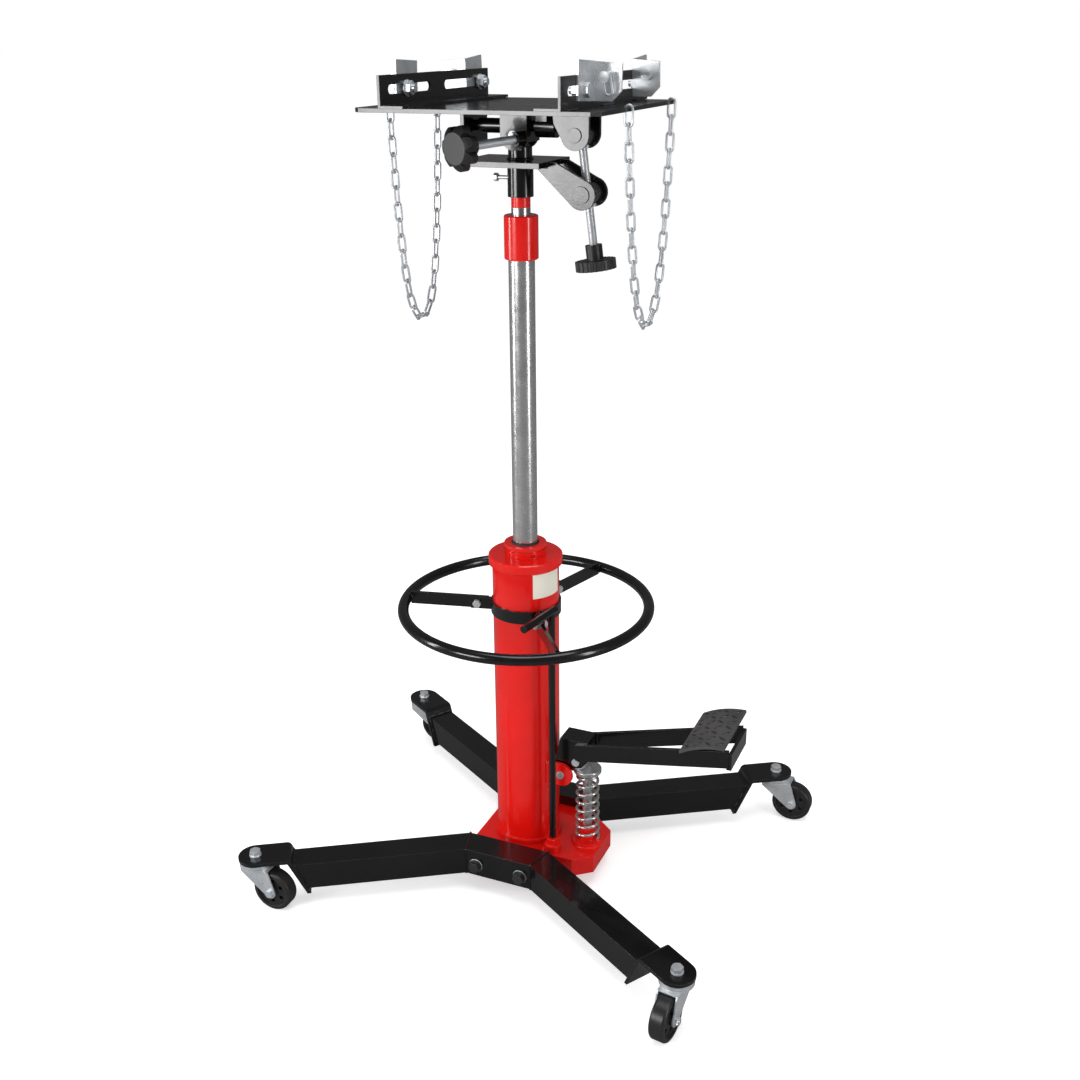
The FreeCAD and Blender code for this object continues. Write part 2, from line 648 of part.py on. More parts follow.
def lower_plate():
    plate = block(LOWER_X0, LOWER_X1, -LOWER_Y, LOWER_Y, LOWER_Z - LOWER_T, LOWER_Z)
    pieces = [plate]
    for side in (-1, 1):
        y0 = LOW_EAR_Y - EAR_T if side > 0 else -LOW_EAR_Y
        root = LOWER_X1 - 20
        rise = 22.0
        ear = prism([(root, y0, LOWER_Z - 1), (LOWER_X1 + 12, y0, LOWER_Z - 1),
                     (LOW_PIN_X + 15, y0, LOW_PIN_Z + 16.5), (LOW_PIN_X - 13, y0, LOW_PIN_Z - 18),
                     (root, y0, LOWER_Z - LOWER_T)], (0, EAR_T, 0))
        disc = rod((LOW_PIN_X, y0, LOW_PIN_Z), (LOW_PIN_X, y0 + EAR_T, LOW_PIN_Z), rise)
        ear = fuse(ear, disc)
        pieces.append(ear)
    head = fuse(pieces[0], pieces[1], pieces[2])
    return head.cut(rod((LOW_PIN_X, -40, LOW_PIN_Z), (LOW_PIN_X, 40, LOW_PIN_Z), 13.0 + RUN_GAP))


def pivot_post():
    """Column on the lower plate with a rounded top that carries the fore-aft pivot pin."""
    foot = upright(18.5, LOWER_Z, TILT_Z - 18).common(block(-19, 19, -18.5, 18.5, LOWER_Z, TILT_Z))
    neck = block(-11.0, 11.0, -18.5, 18.5, TILT_Z - 22, TILT_Z)
    crown = rod((0, -18.5, TILT_Z), (0, 18.5, TILT_Z), 11.0)
    post = fuse(foot, neck, crown)
    return post.cut(rod((0, -30, TILT_Z), (0, 30, TILT_Z), 7.0 + RUN_GAP))


# ---- tilting cradle -------------------------------------------------------------------------
SCREW_TIP = V(14.0, -26.0, 1296.0)
SCREW_END = V(-32.0, -146.0, 1290.0)


def screw_line():
    return (SCREW_END - SCREW_TIP).normalize()


def tilt_cradle():
    """Box of four cheeks round the pivot post, with stub shafts for the side tilt."""
    cheeks = []
    for side in (-1, 1):
        y0 = CRADLE_Y - CRADLE_T if side > 0 else -CRADLE_Y
        face = block(-CRADLE_X, CRADLE_X, y0, y0 + CRADLE_T, TILT_Z, CRADLE_TOP)
        disc = rod((0, y0, TILT_Z), (0, y0 + CRADLE_T, TILT_Z), CRADLE_X)
        cheeks.append(fuse(face, disc))
        x0 = CRADLE_X - CRADLE_T if side > 0 else -CRADLE_X
        cheeks.append(block(x0, x0 + CRADLE_T, -CRADLE_Y, CRADLE_Y, TILT_Z - 10, CRADLE_TOP))
    box = fuse(cheeks[0], *cheeks[1:])
    left = rod((-CRADLE_X - 44, 0, ROLL_Z), (-CRADLE_X + 1, 0, ROLL_Z), 11.0)
    left_end = rod((-90.0, 0, ROLL_Z), (-CRADLE_X - 43, 0, ROLL_Z), 8.0)
    right = rod((CRADLE_X - 1, 0, ROLL_Z), (68.0, 0, ROLL_Z), 8.0)
    boss = Part.makeCylinder(11.0, 16.0, SCREW_TIP - screw_line() * 1.0, screw_line())
    box = fuse(box, left, left_end, right, boss)
    box = box.cut(rod((0, -40, TILT_Z), (0, 40, TILT_Z), 7.0))
    reach = SCREW_TIP - screw_line() * 3.0
    return box.cut(Part.makeCylinder(KNOB_SCREW_R + RUN_GAP, 40.0, reach, screw_line()))


def tilt_pin():
    pin = rod((0, -CRADLE_Y - 3, TILT_Z), (0, CRADLE_Y + 3, TILT_Z), 7.0)
    return pin


def side_tilt_screw():
    start = SCREW_TIP - screw_line() * 1.0
    return Part.makeCylinder(KNOB_SCREW_R, (SCREW_END - start).Length - 8, start, screw_line())


def star_knob():
    """Seven-lobed knob with a long hub, drawn along +Z and laid on the screw's line."""
    lobes = []
    for k in range(7):
        a = math.radians(360.0 / 7 * k)
        lobes.append(upright(8.5, 0, 20, 24.5 * math.cos(a), 24.5 * math.sin(a)))
    body = fuse(upright(23.5, 0, 20), *lobes)
    body = body.common(Part.makeSphere(46.0, V(0, 0, -20)))
    knob = fuse(body, upright(13.0, -18, 2)).cut(upright(KNOB_SCREW_R, -20, 4))
    return laid(knob, tuple(SCREW_END - screw_line() * 12), tuple(screw_line()))


# ---- saddle ---------------------------------------------------------------------------------
def saddle_plate():
    plate = block(-PLATE_X, PLATE_X, -PLATE_Y, PLATE_Y, PLATE_Z - PLATE_T, PLATE_Z)
    corners = [e for e in plate.Edges if abs(e.CenterOfMass.z - PLATE_Z + PLATE_T / 2) < 0.1
               and e.Length < PLATE_T + 0.1]
    plate = plate.makeChamfer(12.0, corners)
    for sx in (-1, 1):
        for sy in (-1, 1):
            plate = plate.cut(upright(5.5, PLATE_Z - 10, PLATE_Z + 5, sx * 60.0, sy * 50.0))
    for x, y in CHAIN_HOLES:
        plate = plate.cut(upright(3.3, PLATE_Z - 10, PLATE_Z + 5, x, y))
    return plate


def saddle_lugs():
    """Lugs welded under the saddle plate: roll hinge lugs at the left and right of the cradle."""
    low = PLATE_Z - PLATE_T
    left = block(-80.0, -74.0, -41.0, 41.0, ROLL_Z - 24, low)
    left = left.cut(rod((-90, 0, ROLL_Z), (-60, 0, ROLL_Z), 8.0 + RUN_GAP))
    barrel = rod((30.0, 0, ROLL_Z), (62.0, 0, ROLL_Z), 16.0)
    web = block(32.0, 50.0, -14.0, 14.0, ROLL_Z, low)
    right = fuse(barrel, web).cut(rod((20, 0, ROLL_Z), (80, 0, ROLL_Z), 8.0 + RUN_GAP))
    return [left, right]


def saddle_ears():
    """Upper clevis of the tilt screw: two ears under the saddle plate."""
    ears = []
    for side in (-1, 1):
        y0 = UP_EAR_Y - EAR_T if side > 0 else -UP_EAR_Y
        low = PLATE_Z - PLATE_T
        body = prism([(64.0, y0, low), (UP_PIN_X + 22, y0, low), (UP_PIN_X + 22, y0, UP_PIN_Z),
                      (UP_PIN_X - 16, y0, UP_PIN_Z - 15), (66.0, y0, UP_PIN_Z + 16)], (0, EAR_T, 0))
        disc = rod((UP_PIN_X, y0, UP_PIN_Z), (UP_PIN_X, y0 + EAR_T, UP_PIN_Z), 22.0)
        hole = rod((UP_PIN_X, y0 - 1, UP_PIN_Z), (UP_PIN_X, y0 + EAR_T + 1, UP_PIN_Z), 10.5 + RUN_GAP)
        ears.append(fuse(body, disc).cut(hole))
    return ears


def side_rails():
    rails = []
    for sx in (-1, 1):
        x_in = sx * RAIL_X
        x_out = sx * (RAIL_X + RAIL_T)
        wall = block(min(x_in, x_out), max(x_in, x_out), -RAIL_Y, RAIL_Y, PLATE_Z, PLATE_Z + RAIL_H)
        foot_end = sx * (RAIL_X - 36)
        foot = block(min(foot_end, x_in), max(foot_end, x_in), -RAIL_Y, RAIL_Y, PLATE_Z, PLATE_Z + RAIL_T)
        rail = fuse(wall, foot)
        for sy in (-1, 1):
            centre = sy * SLOT_CENTRE
            half = SLOT_LEN / 2 - SLOT_W / 2
            zc = PLATE_Z + 25.0
            slot = block(x_in - 20, x_in + 20, centre - half, centre + half,
                         zc - SLOT_W / 2, zc + SLOT_W / 2)
            rail = rail.cut(slot)
            for end in (-1, 1):
                y = centre + end * half
                rail = rail.cut(rod((x_in - 20, y, zc), (x_in + 20, y, zc), SLOT_W / 2))
        rails.append(rail)
    return group(rails)


def corner_bracket(sx, sy):
    """Zinc angle clamped to the outside of a rail, its bolt through the slot and its chain pin."""
    x0 = RAIL_X + RAIL_T
    zc = PLATE_Z + 25.0
    z0 = PLATE_Z + 10.0
    z1 = PLATE_Z + 64.0
    leg_y, wall_y = BRACKET_LEG[sy]
    side = 1 if wall_y > leg_y else -1
    yb = wall_y - side * 40.0
    wall_in = wall_y - side * BRACKET_T
    out = x0 + 44.0
    leg = block(x0, x0 + BRACKET_T, min(leg_y, wall_y), max(leg_y, wall_y), z0, z1)
    outline = [(x0, z0), (out - 14, z0), (out, z0 + 14), (out, z1 - 3), (x0, z1)]
    wall = prism([(x, wall_in, z) for x, z in outline], (0, side * BRACKET_T, 0))
    plate = fuse(leg, wall)
    plate = plate.cut(rod((x0 - 5, yb, zc), (x0 + 10, yb, zc), 6.0))
    pin_x = x0 + 24.0
    pin_z = z1 - 22.0
    near = -1 if sy < 0 else 1
    plate = plate.cut(rod((pin_x, wall_y - 8, pin_z), (pin_x, wall_y + 8, pin_z), CHAIN_PIN_R))
    screw = bolt((x0 + BRACKET_T, yb, zc), (1, 0, 0), 18.0, 8.0, 6.0, 22.0)
    washer = rod((RAIL_X - 2.0, yb, zc), (RAIL_X, yb, zc), 12.0).cut(
        rod((RAIL_X - 3, yb, zc), (RAIL_X + 1, yb, zc), 6.0))
    nut = hexagon(18.0, 8.0, (RAIL_X - 2.0, yb, zc), (-1, 0, 0)).cut(
        rod((RAIL_X - 20, yb, zc), (RAIL_X, yb, zc), 6.0))
    face = wall_y if near * side > 0 else wall_in
    pin = fuse(rod((pin_x, face - near * 8, pin_z), (pin_x, face + near * 20, pin_z), CHAIN_PIN_R),
               rod((pin_x, face, pin_z), (pin_x, face + near * 3, pin_z), 8.0),
               rod((pin_x, face + near * 17, pin_z), (pin_x, face + near * 20, pin_z), 8.0),
               rod((pin_x, face - near * 11, pin_z), (pin_x, face - near * BRACKET_T, pin_z), 8.0))
    pieces = [plate, screw, washer, nut, pin]
    tilted = []
    for piece in pieces:
        one = piece.copy()
        one.rotate(V(0, yb, zc), X_AXIS, BRACKET_TURN[sy])
        tilted.append(one)
    turn = math.radians(BRACKET_TURN[sy])
    dy = face + near * 10 - yb
    dz = pin_z - zc
    hang_y = yb + dy * math.cos(turn) - dz * math.sin(turn)
    hang_z = zc + dy * math.sin(turn) + dz * math.cos(turn)
    pieces = tilted + chain_along(pin_route(pin_x, hang_y, hang_z, near))
    if sx < 0:
        pieces = [one.mirror(V(0, 0, 0), X_AXIS) for one in pieces]
    return group(pieces)


# ---- tilt screw -----------------------------------------------------------------------------
UP_CENTRE = V(UP_PIN_X, 0, UP_PIN_Z)
LOW_CENTRE = V(LOW_PIN_X, 0, LOW_PIN_Z)
TILT_LINE = (UP_CENTRE - LOW_CENTRE).normalize()


def trunnion(centre, journal, reach, bore):
    barrel = Part.makeCylinder(17.0, 2 * reach - 1.0, centre - Y_AXIS * (reach - 0.5), Y_AXIS)
    pins = Part.makeCylinder(journal, 2 * reach + 16, centre - Y_AXIS * (reach + 8), Y_AXIS)
    body = fuse(barrel, pins)
    hole = Part.makeCylinder(bore, 60, centre - TILT_LINE * 30, TILT_LINE)
    return body.cut(hole)


def upper_trunnion():
    return trunnion(UP_CENTRE, 10.5, UP_EAR_Y - EAR_T, 11.2)


def lower_trunnion():
    return trunnion(LOW_CENTRE, 13.0, LOW_EAR_Y - EAR_T, 6.0 + RUN_GAP)


def tilt_screw():
    top = UP_CENTRE + TILT_LINE * 12
    bottom = LOW_CENTRE - TILT_LINE * 96
    return Part.makeCylinder(6.0, (top - bottom).Length, bottom, TILT_LINE)


def tilt_knob():
    """Fluted hand knob clamped on the lower end of the tilt screw."""
    start = LOW_CENTRE - TILT_LINE * 114
    disc = upright(31.5, 0, 15)
    for k in range(24):
        a = math.radians(15 * k)
        disc = disc.cut(upright(2.6, -1, 16, 32.3 * math.cos(a), 32.3 * math.sin(a)))
    knob = fuse(disc, upright(13.0, 14, 38)).cut(upright(6.0, 18, 40))
    return laid(knob, tuple(start), tuple(TILT_LINE))


# ---- chains ---------------------------------------------------------------------------------
def chain_link():
    """One welded link, long along X, lying in the XY plane, centred on the origin."""
    straight = LINK_PITCH / 2 + LINK_WIRE + LINK_SLACK - LINK_HALF_W
    sides = []
    for side in (-1, 1):
        sides.append(rod((-straight, side * LINK_HALF_W, 0), (straight, side * LINK_HALF_W, 0), LINK_WIRE))
        bend = Part.makeTorus(LINK_HALF_W, LINK_WIRE, V(side * straight, 0, 0))
        x0 = straight if side > 0 else -straight - 20
        sides.append(bend.common(block(x0, x0 + 20, -20, 20, -20, 20)))
    return fuse(sides[0], *sides[1:])


def link_between(start, end, turn):
    """A link between two points; at turn 0 it lies flat along the X axis."""
    link = chain_link()
    along = (end - start).normalize()
    flat = FreeCAD.Rotation(along, X_AXIS, V(0, 0, 0), "XYZ")
    roll = FreeCAD.Rotation(X_AXIS, turn)
    link.Placement = FreeCAD.Placement((start + end) * 0.5, flat.multiply(roll))
    return link


def chain_along(points, first=0.0):
    """Links along points one pitch apart, every second one turned a quarter."""
    return [link_between(points[k], points[k + 1], first + 90.0 * (k % 2)) for k in range(len(points) - 1)]


def stepped(fine, count=1000):
    """Points one link pitch apart along a finely divided line."""
    points = [fine[0]]
    for p in fine:
        if (p - points[-1]).Length >= LINK_PITCH and len(points) <= count:
            points.append(p)
    return points


def pin_route(x, y, z, near):
    """Short run of chain from a bracket's pin down to just inside the plate's edge."""
    low = PLATE_Z + LINK_HALF_W + LINK_WIRE + 1.0
    start = V(x, y, z + CHAIN_PIN_R + 0.1)
    fine = [start + V(7.0 * t / 100.0, 0, (low - start.z) * t / 100.0) for t in range(101)]
    return stepped(fine)


def hanging(x, y0, y1, z_top, sag):
    """Link ends down one side of a catenary, across one level link and up the other side."""
    half = (y1 - y0) / 2
    middle = (y0 + y1) / 2
    low, high = 1.0, 500.0
    for _ in range(60):
        scale = (low + high) / 2
        drop = scale * (math.cosh(min(half / scale, 300.0)) - 1)
        low, high = (scale, high) if drop > sag else (low, scale)
    start = scale * math.asinh(LINK_PITCH / 2 / scale)
    fine = []
    for k in range(6001):
        y = scale * math.asinh(math.sinh(start / scale) + k * 0.1 / scale)
        fine.append(V(x, y, scale * math.cosh(y / scale)))
    count = round((scale * math.sinh(half / scale) - LINK_PITCH / 2) / LINK_PITCH)
    side = stepped(fine, count)[:count + 1]
    side[-1].y = half
    lift = z_top - side[-1].z
    right = [V(x, middle + p.y, p.z + lift) for p in side]
    left = [V(x, middle - p.y, p.z + lift) for p in reversed(side)]
    return left + right


HANG_Z = PLATE_Z + 0.9 - LINK_SLACK - LINK_PITCH          # where the loops hang in the hooks


def chain_hooks():
    """Links that hook the chains through the holes beside the saddle plate's edges."""
    hooks = []
    for x, y in CHAIN_HOLES:
        centre = x + math.copysign(LINK_HALF_W, x)
        hooks.append(link_between(V(centre, y, HANG_Z), V(centre, y, HANG_Z + LINK_PITCH), 0.0))
    return group(hooks)


def chain(side, y0, y1, sag):
    """Chain loop hanging between two hooks."""
    x = side * (CHAIN_HOLE_X + LINK_HALF_W)
    links = chain_along(hanging(x, y0, y1, HANG_Z, sag), 90.0)
    links[len(links) // 2].translate(V(0, 0, LEVEL_LIFT))
    return group(links)


# ---- build ----------------------------------------------------------------------------------
def main():
    os.makedirs("parts", exist_ok=True)
    save("base_block", base_block())
    save("cross_tubes", group([cross_tube(-1), cross_tube(1)]))
    save("leg_tubes", group([leg_tube(sx, sy) for sx, sy in CORNERS.values()]))
    save("caster_plates", group([caster_plate(sx, sy) for sx, sy in CORNERS.values()]))
    save("base_bolts", base_bolts())
    save("caster_bolts", group([at_caster(s, n) for n in CORNERS for s in caster_bolt()]))
    save("caster_cups", group([at_caster(caster_cup(), n) for n in CORNERS]))
    for name in CORNERS:
        save("caster_fork_" + name, group([at_caster(s, name) for s in [caster_fork()] + caster_axle()]))
        save("caster_wheel_" + name, at_caster(caster_wheel(), name))
    save("reservoir_tube", reservoir_tube())
    save("inner_cylinder", inner_cylinder())
    save("cylinder_head", cylinder_head())
    save("gland_nut", gland_nut())
    save("wiper_seal", wiper_seal())
    save("ram_1_tube", ram_1_tube())
    save("ram_1_piston", ram_1_piston())
    save("ram_collar", ram_collar())
    save("ram_2_rod", ram_2_rod())
    save("ram_2_piston", ram_2_piston())
    save("hand_ring", hand_ring())
    save("ring_spokes", group([turned(ring_spoke(), a) for a in SPOKE_ANGLES]))
    save("clamp_band", clamp_band())
    save("ring_bolts", ring_bolts())
    save("pump_body", pump_body())
    save("pump_plunger", pump_plunger())
    save("return_spring", return_spring())
    save("pivot_lug", pivot_lug())
    save("pedal_lever", pedal_lever())
    save("pedal_plate", pedal_plate())
    save("pedal_pins", pedal_pins())
    save("release_valve", release_valve())
    save("release_rod", release_rod())
    save("socket_tube", socket_tube())
    save("lock_screw", lock_screw())
    save("lower_plate", lower_plate())
    save("pivot_post", pivot_post())
    save("tilt_cradle", tilt_cradle())
    save("tilt_pin", tilt_pin())
    save("side_tilt_screw", side_tilt_screw())
    save("star_knob", star_knob())
    save("saddle_plate", saddle_plate())
    save("saddle_lugs", group(saddle_lugs() + saddle_ears()))
    save("side_rails", side_rails())
    for name, (sx, sy) in CORNERS.items():
        save("corner_bracket_" + name, corner_bracket(sx, sy))
    save("upper_trunnion", upper_trunnion())
    save("lower_trunnion", lower_trunnion())
    save("tilt_screw", tilt_screw())
    save("tilt_knob", tilt_knob())
    save("chain_hooks", chain_hooks())
    save("left_chain", chain(-1, CHAIN_HOLES[0][1], CHAIN_HOLES[1][1], 312.0))
    save("right_chain", chain(1, CHAIN_HOLES[2][1], CHAIN_HOLES[3][1], 308.0))


main()
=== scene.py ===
"""Looks of the transmission jack: materials, small surface details, camera and light."""
import bpy
import json
import math
from mathutils import Matrix, Vector


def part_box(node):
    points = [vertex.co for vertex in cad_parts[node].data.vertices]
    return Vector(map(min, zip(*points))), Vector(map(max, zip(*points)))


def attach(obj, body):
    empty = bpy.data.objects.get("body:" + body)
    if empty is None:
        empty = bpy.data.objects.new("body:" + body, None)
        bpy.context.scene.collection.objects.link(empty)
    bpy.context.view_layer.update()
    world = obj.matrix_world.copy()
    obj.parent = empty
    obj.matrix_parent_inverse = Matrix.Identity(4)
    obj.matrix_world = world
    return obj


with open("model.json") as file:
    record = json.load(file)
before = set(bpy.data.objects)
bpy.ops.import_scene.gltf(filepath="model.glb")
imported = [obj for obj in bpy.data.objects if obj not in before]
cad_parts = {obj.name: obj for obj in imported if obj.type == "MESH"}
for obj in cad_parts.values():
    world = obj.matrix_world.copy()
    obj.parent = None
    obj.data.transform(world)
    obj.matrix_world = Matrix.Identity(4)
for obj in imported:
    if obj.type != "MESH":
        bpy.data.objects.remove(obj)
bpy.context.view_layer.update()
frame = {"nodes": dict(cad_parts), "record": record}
NODES = frame["nodes"]

BARE_METAL = (0.30, 0.29, 0.28)             # shows where enamel is worn off an edge
RUBBED = (0.16, 0.16, 0.16)                 # edges of moulded pieces
DARK_RED = (0.65, 0.006, 0.003)             # top of the second ram
RED_FROM = 1.192                            # metres; the second ram is painted above this height
BLUR = 0.0006                               # metres; width of that paint line


# ---- node helpers -----------------------------------------------------------------------------
class Shader:
    """A material's node tree with short names for the steps every finish repeats."""

    def __init__(self, name):
        self.mat = bpy.data.materials.new(name)
        self.mat.use_nodes = True
        self.tree = self.mat.node_tree
        self.bsdf = self.tree.nodes["Principled BSDF"]
        self.coords = self.add("ShaderNodeTexCoord").outputs["Object"]

    def add(self, kind, **settings):
        """A new node with some of its settings."""
        node = self.tree.nodes.new(kind)
        for key, value in settings.items():
            setattr(node, key, value)
        return node

    def link(self, source, target):
        self.tree.links.new(source, target)

    def set(self, **values):
        """Values of the surface, with _ in place of each space of an input's name."""
        for key, value in values.items():
            self.bsdf.inputs[key.replace("_", " ")].default_value = value

    def stretched(self, scale):
        """Texture coordinates scaled by a different amount along each axis."""
        mapping = self.add("ShaderNodeMapping")
        mapping.inputs["Scale"].default_value = scale
        self.link(self.coords, mapping.inputs["Vector"])
        return mapping.outputs["Vector"]

    def noise(self, scale, detail, rough, vector=None):
        node = self.add("ShaderNodeTexNoise")
        node.inputs["Scale"].default_value = scale
        node.inputs["Detail"].default_value = detail
        node.inputs["Roughness"].default_value = rough
        self.link(vector or self.coords, node.inputs["Vector"])
        return node.outputs["Fac"]

    def spread(self, value, low, high, out_low, out_high):
        """Map the range from low to high onto the range from out_low to out_high."""
        node = self.add("ShaderNodeMapRange")
        node.inputs["From Min"].default_value = low
        node.inputs["From Max"].default_value = high
        node.inputs["To Min"].default_value = out_low
        node.inputs["To Max"].default_value = out_high
        self.link(value, node.inputs["Value"])
        return node.outputs["Result"]

    def maths(self, operation, first, second):
        node = self.add("ShaderNodeMath", operation=operation)
        for socket, value in zip(node.inputs, (first, second)):
            if isinstance(value, (int, float)):
                socket.default_value = value
            else:
                self.link(value, socket)
        return node.outputs["Value"]

    def blend(self, factor, first, second):
        """Mix of two colours; each one is a tuple or a socket."""
        node = self.add("ShaderNodeMix", data_type="RGBA")
        self.link(factor, node.inputs[0])
        for socket, value in ((node.inputs[6], first), (node.inputs[7], second)):
            if isinstance(value, tuple):
                socket.default_value = (*value, 1.0)
            else:
                self.link(value, socket)
        return node.outputs[2]

    def edge(self, radius):
        """Rounded shading normal, and a mask that is 1 on outer edges."""
        round_node = self.add("ShaderNodeBevel", samples=6)
        round_node.inputs["Radius"].default_value = radius
        geometry = self.add("ShaderNodeNewGeometry")
        dot = self.add("ShaderNodeVectorMath", operation="DOT_PRODUCT")
        self.link(round_node.outputs["Normal"], dot.inputs[0])
        self.link(geometry.outputs["Normal"], dot.inputs[1])
        mask = self.spread(dot.outputs["Value"], 0.995, 0.85, 0.0, 1.0)
        return round_node.outputs["Normal"], mask

    def bump(self, height, distance, normal):
        node = self.add("ShaderNodeBump")
        node.inputs["Distance"].default_value = distance
        self.link(height, node.inputs["Height"])
        self.link(normal, node.inputs["Normal"])
        return node.outputs["Normal"]


# ---- finishes ---------------------------------------------------------------------------------
def paint(name, color, shade, roughness, wear):
    """Enamel: orange peel, a little dust in the colour and thin paint on the edges."""
    s = Shader(name)
    normal, mask = s.edge(0.0009)
    cloud = s.spread(s.noise(9.0, detail=5.0, rough=0.6), 0.35, 0.7, 0.0, 1.0)
    body = s.blend(cloud, color, shade)
    chips = s.spread(s.noise(420.0, detail=3.0, rough=0.6), 0.45, 0.75, 0.0, wear)
    s.link(s.blend(s.maths("MULTIPLY", mask, chips), body, BARE_METAL), s.bsdf.inputs["Base Color"])
    smears = s.spread(s.noise(26.0, detail=6.0, rough=0.65), 0.3, 0.75, roughness * 0.75, roughness * 1.35)
    s.link(smears, s.bsdf.inputs["Roughness"])
    peel = s.noise(260.0, detail=2.0, rough=0.4)
    s.link(s.bump(peel, 0.00009, normal), s.bsdf.inputs["Normal"])
    s.set(Specular_IOR_Level=0.5, Coat_Weight=0.40, Coat_Roughness=0.07)
    return s.mat


def metal(name, color, shade, roughness, grain=(1.0, 1.0, 1.0), metallic=1.0):
    """Bare or plated metal: mottled colour and a directional grain."""
    s = Shader(name)
    normal, _ = s.edge(0.0006)
    mottle = s.spread(s.noise(38.0, detail=5.0, rough=0.6), 0.35, 0.68, 0.0, 1.0)
    s.link(s.blend(mottle, color, shade), s.bsdf.inputs["Base Color"])
    lines = s.noise(900.0, detail=3.0, rough=0.6, vector=s.stretched(grain))
    patches = s.spread(s.noise(60.0, detail=4.0, rough=0.6), 0.3, 0.7, 0.75, 1.3)
    rough = s.maths("MULTIPLY", patches, s.spread(lines, 0.2, 0.8, roughness * 0.8, roughness * 1.25))
    s.link(rough, s.bsdf.inputs["Roughness"])
    s.link(s.bump(lines, 0.00003, normal), s.bsdf.inputs["Normal"])
    s.set(Metallic=metallic)
    return s.mat


def moulding(name, color, shade, roughness, grain=700.0, depth=0.00008):
    """Moulded plastic or rubber with a fine matte texture."""
    s = Shader(name)
    normal, mask = s.edge(0.0012)
    cloud = s.spread(s.noise(30.0, detail=4.0, rough=0.6), 0.3, 0.7, 0.0, 1.0)
    body = s.blend(cloud, color, shade)
    s.link(s.blend(s.maths("MULTIPLY", mask, 0.35), body, RUBBED), s.bsdf.inputs["Base Color"])
    texture = s.noise(grain, detail=3.0, rough=0.7)
    s.link(s.spread(texture, 0.2, 0.8, roughness * 0.85, roughness * 1.2), s.bsdf.inputs["Roughness"])
    s.link(s.bump(texture, depth, normal), s.bsdf.inputs["Normal"])
    return s.mat


RED = paint("red_enamel", (0.70, 0.006, 0.003), (0.60, 0.005, 0.003), 0.20, 0.10)
BLACK = paint("black_enamel", (0.003, 0.003, 0.0035), (0.005, 0.005, 0.0055), 0.20, 0.30)
ZINC = metal("bright_zinc", (0.80, 0.82, 0.84), (0.62, 0.66, 0.70), 0.33, metallic=0.72)
CHROME = metal("ground_chrome", (0.66, 0.66, 0.66), (0.58, 0.58, 0.58), 0.24, (0.25, 0.25, 3.0), 0.85)
STEEL = metal("machined_steel", (0.50, 0.50, 0.50), (0.40, 0.40, 0.40), 0.34, (0.3, 0.3, 3.0))
OXIDE = paint("black_oxide", (0.016, 0.016, 0.018), (0.022, 0.022, 0.024), 0.34, 0.5)
RUBBER = moulding("black_rubber", (0.012, 0.012, 0.012), (0.018, 0.018, 0.018), 0.62)
PLASTIC = moulding("black_plastic", (0.010, 0.010, 0.010), (0.016, 0.016, 0.016), 0.36)
WHEEL = moulding("wheel_plastic", (0.012, 0.012, 0.012), (0.018, 0.018, 0.019), 0.32)
# Pedal tread: a grey much lighter than the black enamel, a painted sheen for the light on its top; its
# chipped edges are real wear.
TREAD = paint("worn_tread", (0.075, 0.073, 0.072), (0.045, 0.044, 0.044), 0.34, 0.5)
LABEL = moulding("blank_label", (0.74, 0.72, 0.62), (0.70, 0.68, 0.58), 0.40, 300.0, 0.00002)


def red_topped(name, height):
    """Ground chrome that is painted red above a height, by the object's own coordinates."""
    mat = CHROME.copy()
    mat.name = name
    tree = mat.node_tree
    bsdf = tree.nodes["Principled BSDF"]
    coords = tree.nodes.new("ShaderNodeTexCoord")
    split = tree.nodes.new("ShaderNodeSeparateXYZ")
    tree.links.new(coords.outputs["Object"], split.inputs["Vector"])
    mask = tree.nodes.new("ShaderNodeMapRange")
    mask.inputs["From Min"].default_value = height
    mask.inputs["From Max"].default_value = height + BLUR
    tree.links.new(split.outputs["Z"], mask.inputs["Value"])
    mix = tree.nodes.new("ShaderNodeMix")
    mix.data_type = "RGBA"
    mix.inputs[7].default_value = (*DARK_RED, 1.0)
    tree.links.new(bsdf.inputs["Base Color"].links[0].from_socket, mix.inputs[6])
    tree.links.new(mask.outputs["Result"], mix.inputs[0])
    tree.links.new(mix.outputs[2], bsdf.inputs["Base Color"])
    flip = tree.nodes.new("ShaderNodeMath")
    flip.operation = "SUBTRACT"
    flip.inputs[0].default_value = 1.0
    tree.links.new(mask.outputs["Result"], flip.inputs[1])
    tree.links.new(flip.outputs["Value"], bsdf.inputs["Metallic"])
    return mat


SLOT_FINISH = {"red_paint": RED, "black_paint": BLACK, "zinc_plate": ZINC, "ground_chrome": CHROME,
               "plain_steel": STEEL, "black_oxide": OXIDE, "black_rubber": RUBBER,
               "black_plastic": PLASTIC, "wheel_plastic": WHEEL}
NODE_SLOT = {part["node"]: part["material_slot"] for part in frame["record"]["subparts"]}


def finish_nodes():
    """Give every CAD node the finish of its material slot in the record."""
    for name, node in NODES.items():
        for index in range(max(1, len(node.material_slots))):
            if index < len(node.material_slots):
                node.material_slots[index].material = SLOT_FINISH[NODE_SLOT[name]]
            else:
                node.data.materials.append(SLOT_FINISH[NODE_SLOT[name]])


finish_nodes()
# The tread plate takes the tread finish, whose lighter grey is a painted sheen.
NODES["pedal_plate"].material_slots[0].material = TREAD
NODES["ram_2_rod"].material_slots[0].material = red_topped("red_topped_chrome", RED_FROM)


# ---- sizes of the details, in millimetres -----------------------------------------------------
def in_mm(point):
    return tuple(round(value * 1000.0, 1) for value in point)


def top_of(node):
    return in_mm(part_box(node)[1])[2]


def bottom_of(node):
    return in_mm(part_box(node)[0])[2]


PIVOTS = {joint["name"]: in_mm(joint["pos_m"])
          for joint in frame["record"]["behaviour"]["joints"] if "pos_m" in joint}

